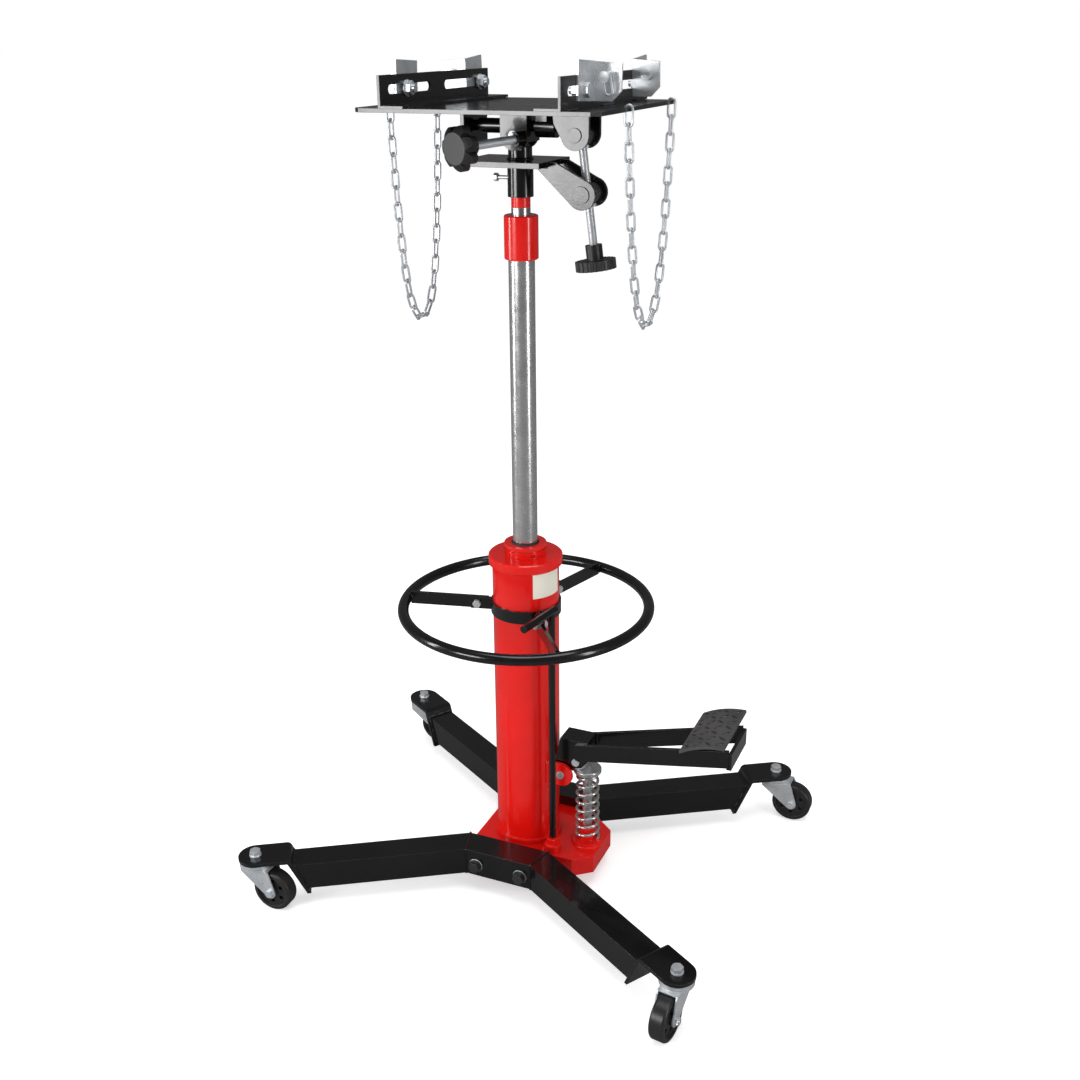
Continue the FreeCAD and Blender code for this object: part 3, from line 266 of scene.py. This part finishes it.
MM = 0.001
CORNERS = ((-1, -1), (1, -1), (-1, 1), (1, 1))
WELD_STEP = 1.3             # between the rings of a bead
PROUD = 0.4                 # how far the middle of a bead stands off its plate
ROUND_STEPS = 48            # points of a bead that runs round a pipe
TURN_STEPS = 20             # points of one turn of a thread
WASHER_STEPS = 32

# base
CASTER_X, CASTER_Y, _ = PIVOTS["caster_swivel_rear_right"]
TUBE_TOP = top_of("cross_tubes")
TUBE_BOTTOM = bottom_of("cross_tubes")
TUBE_HALF = (TUBE_TOP - TUBE_BOTTOM) / 2
BEND_X = 70.0               # where a leg meets its cross tube
BEAM_Y = 114.0              # centre line of a cross tube
BEND_HALF = 16.05           # degrees, half the bend between a leg and its cross tube
TAB_TOP = top_of("caster_plates")
TAB_BACK = 59.6             # from the caster pivot to the back of the fold, at the tab's top
TAB_LEAN = 25.0             # degrees the folded leg of a tab leans
BOLT_X, BOLT_Z = 43.0, 55.0
BOLT_WASHER = (13.0, 6.2, 1.4)              # outer radius, inner radius, thickness

# hand ring
RING_R = 213.0
RING_Z = (bottom_of("hand_ring") + top_of("hand_ring")) / 2
RING_TUBE_SQUARED = 92.0    # square of the ring tube's radius, with a little to spare
SPOKE_HALF = 3.6            # a little more than half a spoke's thickness
SPOKE_REACH = 8             # half the length of a bead between a spoke and the ring
SPOKE_ANGLES = (193.5, 74.0, 308.0)
BAND_R = 61.2               # just outside the clamp band
BAND_LUG_SIDES = (3.0, 8.0)  # both faces of a lug, across the spoke
BAND_LUG_Z = (509.0, 529.0)

# foot pump and pedal
BLOCK_TOP = top_of("base_block")
PUMP_X = 116.7
PUMP_FOOT_R = 28.4          # just outside the pump's flange
PIVOT_LUG = (50.8, 30.4)    # outer corner where the forked lug meets the reservoir
PIVOT_LUG_Z = (187.5, 230.5)
PEDAL_END = (383.4, 48.0)   # corner between an arm and the end plate
PEDAL_END_Z = (303.5, 331.0)
PEDAL_ROOT = (126.0, 21.6)  # corner between an arm and the channel
PEDAL_ROOT_Z = (247.0, 277.0)
TREAD_R = 148.2             # radius of the tread plate's arch
TREAD_RISE = 5.5            # height of the arch
TREAD_TILT = 16.0           # degrees
TREAD_MIDDLE = (338.0, 331.44)              # X and Z
BAR_ROWS, BAR_COLUMNS = 4, 7
BAR_FIRST = (-28.5, -38.0)  # first bar, from the middle of the tread
BAR_GAP = (19.0, 19.6)
BAR_STEP = 2.1              # between the points of a bar
BAR_RADII = (0.6, 1.4, 1.9, 2.1, 1.9, 1.4, 0.6)

# head and saddle
LOWER_TOP = top_of("lower_plate")
LOWER_T = 8.0
LOWER_UNDER = LOWER_TOP - LOWER_T
POST_R = 18.8               # just outside the pivot post
SOCKET_R = 20.4             # just outside the head's socket
LOWER_EAR_Y = 28.6
LOWER_EAR_X = (38.0, 57.0)
PLATE_TOP = top_of("saddle_plate")
PLATE_UNDER = bottom_of("saddle_plate")
LEFT_LUG_X = (-80.6, -73.4)
LEFT_LUG_Y = (-40.0, 40.0)
RIGHT_LUG_X = (33.0, 49.5)
RIGHT_LUG_Y = 14.5
RAIL_EDGES = (100.6, 141.4)
RAIL_WELDS = (-140.0, 0.0, 140.0)           # middles of the beads along a rail
RAIL_WELD_HALF = 22.0

# screws
TILT_LOW = Vector(PIVOTS["lower_trunnion_pivot"])
TILT_HIGH = Vector(PIVOTS["upper_trunnion_pivot"])
SIDE_TIP = Vector(PIVOTS["side_screw_turn"])
SIDE_END = Vector((-32.0, -146.0, 1290.0))
THREAD_R = 5.9
TILT_TAIL = 76.0            # where the thread ends below the lower trunnion
LOW_ROOM, HIGH_ROOM = 15.0, 14.0            # left plain at the two trunnions
TIP_ROOM, KNOB_ROOM = 17.0, 32.0            # left plain at the side screw's tip and knob
TILT_PITCH, TILT_RIDGE = 2.0, 0.75
SIDE_PITCH, SIDE_RIDGE = 1.8, 0.65

# label
LABEL_R = 57.75
LABEL_START, LABEL_WIDTH = -54.0, 58.0        # degrees round the mast, from +X
LABEL_Z = (552.5, 596.5)
LABEL_STEPS = 30


# ---- small surface details --------------------------------------------------------------------
def add_object(name, points, faces, finish, body):
    """A smooth mesh, from points in millimetres, that rides a body."""
    mesh = bpy.data.meshes.new(name)
    mesh.from_pydata([Vector(p) * MM for p in points], [], faces)
    mesh.materials.append(finish)
    mesh.polygons.foreach_set("use_smooth", [True] * len(mesh.polygons))
    obj = bpy.data.objects.new(name, mesh)
    bpy.context.scene.collection.objects.link(obj)
    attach(obj, body)


class Pile:
    """Many small shapes, in millimetres, gathered into one object."""

    def __init__(self):
        self.points = []
        self.faces = []

    def tube(self, line, radii, sides=8, closed=False):
        """Round bar along a line of points; the ends are capped unless it is closed."""
        line = [Vector(p) for p in line]
        count = len(line)
        first = len(self.points)
        across = None
        for k, point in enumerate(line):
            before = line[k - 1] if k or closed else point
            after = line[(k + 1) % count] if k + 1 < count or closed else point
            along = (after - before).normalized()
            if across is None:
                across = along.orthogonal()
            across = (across - across.dot(along) * along).normalized()
            other = along.cross(across)
            for j in range(sides):
                a = 2 * math.pi * j / sides
                self.points.append(point + radii[k] * (math.cos(a) * across + math.sin(a) * other))
        for k in range(count if closed else count - 1):
            for j in range(sides):
                a = first + k * sides
                b = first + (k + 1) % count * sides
                i = (j + 1) % sides
                self.faces.append((a + j, a + i, b + i, b + j))
        if not closed:
            last = first + (count - 1) * sides
            self.faces.append(tuple(first + j for j in reversed(range(sides))))
            self.faces.append(tuple(last + j for j in range(sides)))

    def weld(self, corners, bead, closed=False):
        """Rippled weld bead along straight runs between corners."""
        line = []
        ends = corners + corners[:1] if closed else corners
        for a, b in zip(ends, ends[1:]):
            a = Vector(a)
            b = Vector(b)
            steps = max(2, round((b - a).length / WELD_STEP))
            line += [a.lerp(b, k / steps) for k in range(steps)]
        if not closed:
            line.append(Vector(ends[-1]))
        wave = []
        for k in range(len(line)):
            ripple = 0.18 * abs(math.sin(k * 0.9))
            drift = 0.06 * math.sin(k * 0.37)
            wave.append(bead * (0.82 + ripple + drift))
        self.tube(line, wave, closed=closed)

    def upright_weld(self, place, heights, bead):
        """Bead that runs straight up at one place."""
        self.weld([(*place, z) for z in heights], bead)

    def weld_ring(self, radius, height, bead, x=0.0):
        """Bead round an upright pipe."""
        circle = []
        for k in range(ROUND_STEPS):
            a = 2 * math.pi * k / ROUND_STEPS
            circle.append((x + radius * math.cos(a), radius * math.sin(a), height))
        self.weld(circle, bead, closed=True)

    def thread(self, start, end, pitch, ridge):
        """Helical ridge round a straight screw."""
        along = (end - start).normalized()
        across = along.orthogonal().normalized()
        other = along.cross(across)
        line = []
        for k in range(round((end - start).length / pitch * TURN_STEPS) + 1):
            a = 2 * math.pi * k / TURN_STEPS
            ray = math.cos(a) * across + math.sin(a) * other
            line.append(start + along * (k * pitch / TURN_STEPS) + THREAD_R * ray)
        self.tube(line, [ridge] * len(line), sides=4)

    def washer(self, centre, axis, outer, inner, thick):
        """Flat ring with a bevelled rim, standing on a face."""
        centre = Vector(centre)
        axis = Vector(axis)
        across = axis.orthogonal().normalized()
        other = axis.cross(across)
        first = len(self.points)
        rims = ((outer, 0.0), (outer, thick * 0.7), (outer - 0.4, thick), (inner, thick), (inner, 0.0))
        for k in range(WASHER_STEPS):
            a = 2 * math.pi * k / WASHER_STEPS
            ray = math.cos(a) * across + math.sin(a) * other
            self.points += [centre + r * ray + h * axis for r, h in rims]
        for k in range(WASHER_STEPS):
            a = first + k * len(rims)
            b = first + (k + 1) % WASHER_STEPS * len(rims)
            for j in range(len(rims)):
                i = (j + 1) % len(rims)
                self.faces.append((a + j, b + j, b + i, a + i))

    def build(self, name, finish, body):
        add_object(name, self.points, self.faces, finish, body)


def base_welds():
    """Beads round each leg's mitre, and between each leg and its caster tab."""
    pile = Pile()
    lean = math.tan(math.radians(TAB_LEAN))
    skew = TUBE_HALF * math.tan(math.radians(BEND_HALF))
    for sx, sy in CORNERS:
        outer = (sx * (BEND_X - skew), sy * (BEAM_Y + TUBE_HALF))
        inner = (sx * (BEND_X + skew), sy * (BEAM_Y - TUBE_HALF))
        square = [(*outer, TUBE_TOP), (*inner, TUBE_TOP), (*inner, TUBE_BOTTOM), (*outer, TUBE_BOTTOM)]
        pile.weld(square, bead=2.0, closed=True)
        along = Vector((sx * (CASTER_X - BEND_X), sy * (CASTER_Y - BEAM_Y), 0.0)).normalized()
        side = Vector((-along.y, along.x, 0.0))
        ends = []
        for across, height in ((-TUBE_HALF, TUBE_BOTTOM), (-TUBE_HALF, TUBE_TOP),
                               (TUBE_HALF, TUBE_TOP), (TUBE_HALF, TUBE_BOTTOM)):
            back = TAB_BACK + (TAB_TOP - height) * lean
            ends.append(Vector((sx * CASTER_X, sy * CASTER_Y, height)) - along * back + side * across)
        pile.weld(ends, bead=2.6)
    pile.build("leg_welds", BLACK, "base")


def ring_welds():
    """Beads between the spokes and the ring, and between the lugs and the clamp band."""
    pile = Pile()
    for angle in SPOKE_ANGLES:
        turn = Matrix.Rotation(math.radians(angle), 3, "Z")
        for side in (-1, 1):
            arc = []
            for rise in range(-SPOKE_REACH, SPOKE_REACH + 1):
                inside = RING_R - math.sqrt(RING_TUBE_SQUARED - rise * rise)
                arc.append(turn @ Vector((inside, side * SPOKE_HALF, RING_Z + rise)))
            pile.weld(arc, bead=1.6)
        for across in BAND_LUG_SIDES:
            pile.weld([turn @ Vector((BAND_R, across, z)) for z in BAND_LUG_Z], bead=1.3)
    pile.build("ring_welds", BLACK, "base")


def red_welds():
    """Beads at the pedal's forked lug and round the pump's foot."""
    pile = Pile()
    x, y = PIVOT_LUG
    for side in (-1, 1):
        pile.upright_weld((x, side * y), PIVOT_LUG_Z, bead=2.2)
    pile.weld_ring(PUMP_FOOT_R, BLOCK_TOP + PROUD, bead=2.0, x=PUMP_X)
    pile.build("pump_welds", RED, "base")


def head_welds():
    """Beads on the lower plate, under the saddle plate and along the rails."""
    pile = Pile()
    pile.weld_ring(POST_R, LOWER_TOP + 0.6, bead=2.2)
    pile.weld_ring(SOCKET_R, LOWER_UNDER - PROUD, bead=2.0)
    for side in (-1, 1):
        pile.weld([(x, side * LOWER_EAR_Y, LOWER_UNDER - 0.5) for x in LOWER_EAR_X], bead=1.8)
    pile.build("lower_plate_welds", BLACK, "swivel_head")
    pile = Pile()
    for x in LEFT_LUG_X:
        pile.weld([(x, y, PLATE_UNDER - PROUD) for y in LEFT_LUG_Y], bead=1.8)
    for side in (-1, 1):
        pile.weld([(x, side * RIGHT_LUG_Y, PLATE_UNDER - PROUD) for x in RIGHT_LUG_X], bead=1.8)
        for x in RAIL_EDGES:
            for y in RAIL_WELDS:
                ends = (y - RAIL_WELD_HALF, y + RAIL_WELD_HALF)
                pile.weld([(side * x, end, PLATE_TOP + 0.6) for end in ends], bead=2.0)
    pile.build("saddle_welds", BLACK, "saddle")


def pedal_welds():
    """Beads at both ends of the pedal's arms."""
    pile = Pile()
    for side in (-1, 1):
        for (x, y), heights in ((PEDAL_END, PEDAL_END_Z), (PEDAL_ROOT, PEDAL_ROOT_Z)):
            pile.upright_weld((x, side * y), heights, bead=1.8)
    pile.build("pedal_welds", BLACK, "pedal")


def tread_bars():
    """Short raised bars on the arched tread, each one at a right angle to its neighbours."""
    bars = Pile()
    cos, sin = math.cos(math.radians(TREAD_TILT)), math.sin(math.radians(TREAD_TILT))
    half = len(BAR_RADII) // 2
    for row in range(BAR_ROWS):
        for column in range(BAR_COLUMNS):
            u = BAR_FIRST[0] + BAR_GAP[0] * row
            y = BAR_FIRST[1] + BAR_GAP[1] * column
            lean = 1 if (row + column) % 2 else -1
            line = []
            for k in range(-half, half + 1):
                du = u + k * BAR_STEP
                rise = TREAD_RISE - TREAD_R + math.sqrt(TREAD_R * TREAD_R - du * du)
                x = TREAD_MIDDLE[0] + du * cos - rise * sin
                z = TREAD_MIDDLE[1] + du * sin + rise * cos
                line.append((x, y + lean * k * BAR_STEP, z))
            bars.tube(line, BAR_RADII, sides=6)
    bars.build("tread_bars", OXIDE, "pedal")


def washers():
    pile = Pile()
    for sx, sy in CORNERS:
        face = (sx * BOLT_X, sy * (BEAM_Y + TUBE_HALF), BOLT_Z)
        pile.washer(face, (0.0, sy, 0.0), *BOLT_WASHER)
    pile.build("base_bolt_washers", ZINC, "base")


def threads():
    """Ridges on the two adjusting screws, clear of their trunnions and knobs."""
    along = (TILT_HIGH - TILT_LOW).normalized()
    screw = Pile()
    for start, end in ((TILT_LOW - along * TILT_TAIL, TILT_LOW - along * LOW_ROOM),
                       (TILT_LOW + along * LOW_ROOM, TILT_HIGH - along * HIGH_ROOM)):
        screw.thread(start, end, TILT_PITCH, TILT_RIDGE)
    screw.build("tilt_screw_thread", ZINC, "tilt_screw")
    along = (SIDE_END - SIDE_TIP).normalized()
    screw = Pile()
    screw.thread(SIDE_TIP + along * TIP_ROOM, SIDE_END - along * KNOB_ROOM, SIDE_PITCH, SIDE_RIDGE)
    screw.build("side_screw_thread", ZINC, "side_screw")


def label():
    """Blank sticker wrapped round the front of the reservoir."""
    points = []
    faces = []
    for k in range(LABEL_STEPS + 1):
        a = math.radians(LABEL_START + LABEL_WIDTH * k / LABEL_STEPS)
        points += [(LABEL_R * math.cos(a), LABEL_R * math.sin(a), z) for z in LABEL_Z]
        if k:
            faces.append((2 * k - 2, 2 * k, 2 * k + 1, 2 * k - 1))
    add_object("blank_label", points, faces, LABEL, "base")


base_welds()
ring_welds()
red_welds()
head_welds()
pedal_welds()
tread_bars()
washers()
threads()
label()


# ---- camera, light and floor ------------------------------------------------------------------
# Each soft light: name, place, the point it faces, its width and height in metres, and its power.
SOFTBOXES = (("front_left", (-1.25, -2.7, 1.25), (0.0, 0.0, 1.2), (1.1, 0.9), 34.0),
             ("right_strip", (2.3, -0.6, 1.0), (0.0, 0.0, 0.8), (0.35, 1.8), 16.0),
             ("left_strip", (-2.2, -1.3, 1.0), (0.0, 0.0, 0.7), (0.30, 1.6), 20.0),
             ("top", (0.3, -0.3, 3.6), (0.0, 0.0, 0.5), (2.2, 2.2), 45.0))
EYE = (0.8403, -1.8561, 1.4500)
SENSOR = 36.0
LENS = 42.877
FAR = 400.0                 # metres the camera can see
FLOOR_HALF = 90.0           # metres; the floor runs to the horizon


def camera():
    """Camera at the photograph's viewing angle: turned to an azimuth, pitched down, yawed and rolled."""
    azimuth, pitch = math.radians(24.357), math.radians(21.728)
    roll, yaw = math.radians(-0.509), math.radians(0.702)
    ahead = Vector((-math.sin(azimuth), math.cos(azimuth), 0.0))
    right = Vector((math.cos(azimuth), math.sin(azimuth), 0.0))
    ahead, right = (math.cos(yaw) * ahead + math.sin(yaw) * right,
                    math.cos(yaw) * right - math.sin(yaw) * ahead)
    rise = Vector((0.0, 0.0, 1.0))
    look = math.cos(pitch) * ahead - math.sin(pitch) * rise
    up = math.sin(pitch) * ahead + math.cos(pitch) * rise
    side = math.cos(roll) * right + math.sin(roll) * up
    top = math.cos(roll) * up - math.sin(roll) * right
    data = bpy.data.cameras.new("camera")
    data.lens = LENS
    data.sensor_width = SENSOR
    data.clip_end = FAR
    cam = bpy.data.objects.new("camera", data)
    bpy.context.scene.collection.objects.link(cam)
    turn = Matrix((side, top, -look)).transposed().to_4x4()
    cam.matrix_world = Matrix.Translation(EYE) @ turn
    bpy.context.scene.camera = cam


def softbox(name, place, target, size, power):
    data = bpy.data.lights.new(name, "AREA")
    data.shape = "RECTANGLE"
    data.size, data.size_y = size
    data.energy = power
    lamp = bpy.data.objects.new(name, data)
    bpy.context.scene.collection.objects.link(lamp)
    aim = (Vector(target) - Vector(place)).to_track_quat("-Z", "Y").to_matrix().to_4x4()
    lamp.matrix_world = Matrix.Translation(place) @ aim


def by_ray(tree, camera, glossy, other):
    """Value that depends on the kind of ray: straight from the camera, mirrored, or scattered."""
    rays = tree.nodes.new("ShaderNodeLightPath")
    value = None
    for socket, wanted in (("Is Glossy Ray", glossy), ("Is Camera Ray", camera)):
        mix = tree.nodes.new("ShaderNodeMix")
        if value is None:
            mix.inputs[2].default_value = other
        else:
            tree.links.new(value, mix.inputs[2])
        mix.inputs[3].default_value = wanted
        tree.links.new(rays.outputs[socket], mix.inputs[0])
        value = mix.outputs[0]
    return value


def sky():
    """White surroundings, dimmer where they are mirrored in the object."""
    world = bpy.data.worlds.new("studio")
    world.use_nodes = True
    background = world.node_tree.nodes["Background"]
    background.inputs["Color"].default_value = (1.0, 1.0, 1.0, 1.0)
    strength = by_ray(world.node_tree, camera=1.0, glossy=0.11, other=0.68)
    world.node_tree.links.new(strength, background.inputs["Strength"])
    bpy.context.scene.world = world


def floor():
    """Pale floor, brightened for the camera only and dimmer where it is mirrored in the object."""
    mesh = bpy.data.meshes.new("floor")
    corners = [(x * FLOOR_HALF, y * FLOOR_HALF, 0.0) for x, y in ((-1, -1), (1, -1), (1, 1), (-1, 1))]
    mesh.from_pydata(corners, [], [(0, 1, 2, 3)])
    obj = bpy.data.objects.new("floor", mesh)
    bpy.context.scene.collection.objects.link(obj)
    s = Shader("pale_floor")
    s.set(Roughness=0.8, Specular_IOR_Level=0.1, Emission_Color=(1.0, 1.0, 1.0, 1.0))
    s.link(by_ray(s.tree, camera=0.93, glossy=0.16, other=0.8), s.bsdf.inputs["Base Color"])
    s.link(by_ray(s.tree, camera=0.40, glossy=0.0, other=0.0), s.bsdf.inputs["Emission Strength"])
    mesh.materials.append(s.mat)


camera()
sky()
for lamp in SOFTBOXES:
    softbox(*lamp)
floor()
bpy.context.scene.view_settings.view_transform = "Standard"
